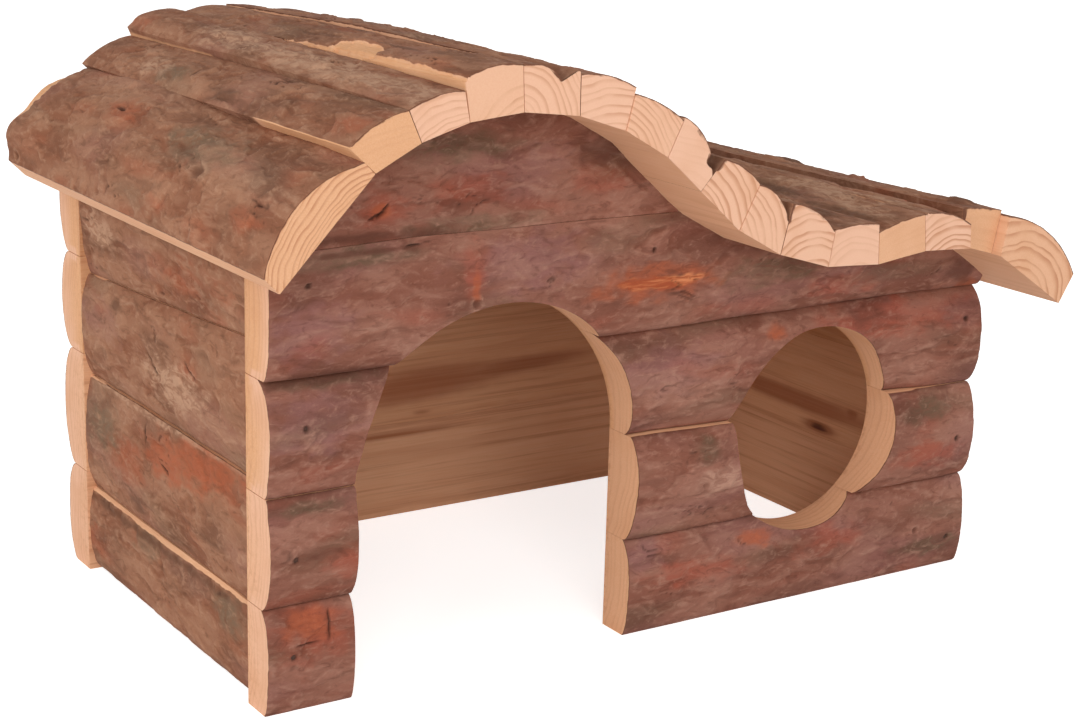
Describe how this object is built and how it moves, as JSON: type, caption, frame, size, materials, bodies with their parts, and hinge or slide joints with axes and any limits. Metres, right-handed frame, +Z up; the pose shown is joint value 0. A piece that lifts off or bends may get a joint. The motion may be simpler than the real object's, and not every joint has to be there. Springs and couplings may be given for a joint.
{
  "type": "wooden guinea pig house",
  "caption": "Free-standing small-pet hideout of half-round bark boards with an arched door, a round window and a wave-shaped roof of bark slats",
  "frame": {"origin": "on the ground, under the middle of the roof's outline", "axes": "+X runs along the house from the high end to the low end, the wall with the door faces -Y, +Z is up"},
  "size_m": [0.2981, 0.191, 0.1903],
  "materials": {
    "bark_wall_pine": "natural bark outside, sawn pine inside and on the ends, uncoated",
    "bark_roof_pine": "natural bark on top, sawn pine below and on the ends, uncoated",
    "brad_steel": "plain drawn wire, dulled"
  },
  "bodies": {
    "root": {"back_wall_board_1": "bark_wall_pine", "back_wall_board_2": "bark_wall_pine", "back_wall_board_3": "bark_wall_pine", "back_wall_board_4": "bark_wall_pine", "back_wall_board_5": "bark_wall_pine", "back_wall_brads": "brad_steel", "front_wall_arch_board": "bark_wall_pine", "front_wall_brads": "brad_steel", "front_wall_crest_board": "bark_wall_pine", "front_wall_left_board_1": "bark_wall_pine", "front_wall_left_board_2": "bark_wall_pine", "front_wall_left_board_3": "bark_wall_pine", "front_wall_middle_board_2": "bark_wall_pine", "front_wall_right_board_1": "bark_wall_pine", "front_wall_right_board_2": "bark_wall_pine", "front_wall_right_board_3": "bark_wall_pine", "left_side_board_1": "bark_wall_pine", "left_side_board_2": "bark_wall_pine", "left_side_board_3": "bark_wall_pine", "left_side_board_4": "bark_wall_pine", "right_side_board_1": "bark_wall_pine", "right_side_board_2": "bark_wall_pine", "right_side_board_3": "bark_wall_pine", "roof_slat_01": "bark_roof_pine", "roof_slat_02": "bark_roof_pine", "roof_slat_03": "bark_roof_pine", "roof_slat_04": "bark_roof_pine", "roof_slat_05": "bark_roof_pine", "roof_slat_06": "bark_roof_pine", "roof_slat_07": "bark_roof_pine", "roof_slat_08": "bark_roof_pine", "roof_slat_09": "bark_roof_pine", "roof_slat_10": "bark_roof_pine", "roof_slat_11": "bark_roof_pine", "roof_slat_12": "bark_roof_pine", "roof_slat_13": "bark_roof_pine", "roof_slat_14": "bark_roof_pine", "roof_slat_15": "bark_roof_pine", "roof_slat_16": "bark_roof_pine"}
  },
  "joints": []
}
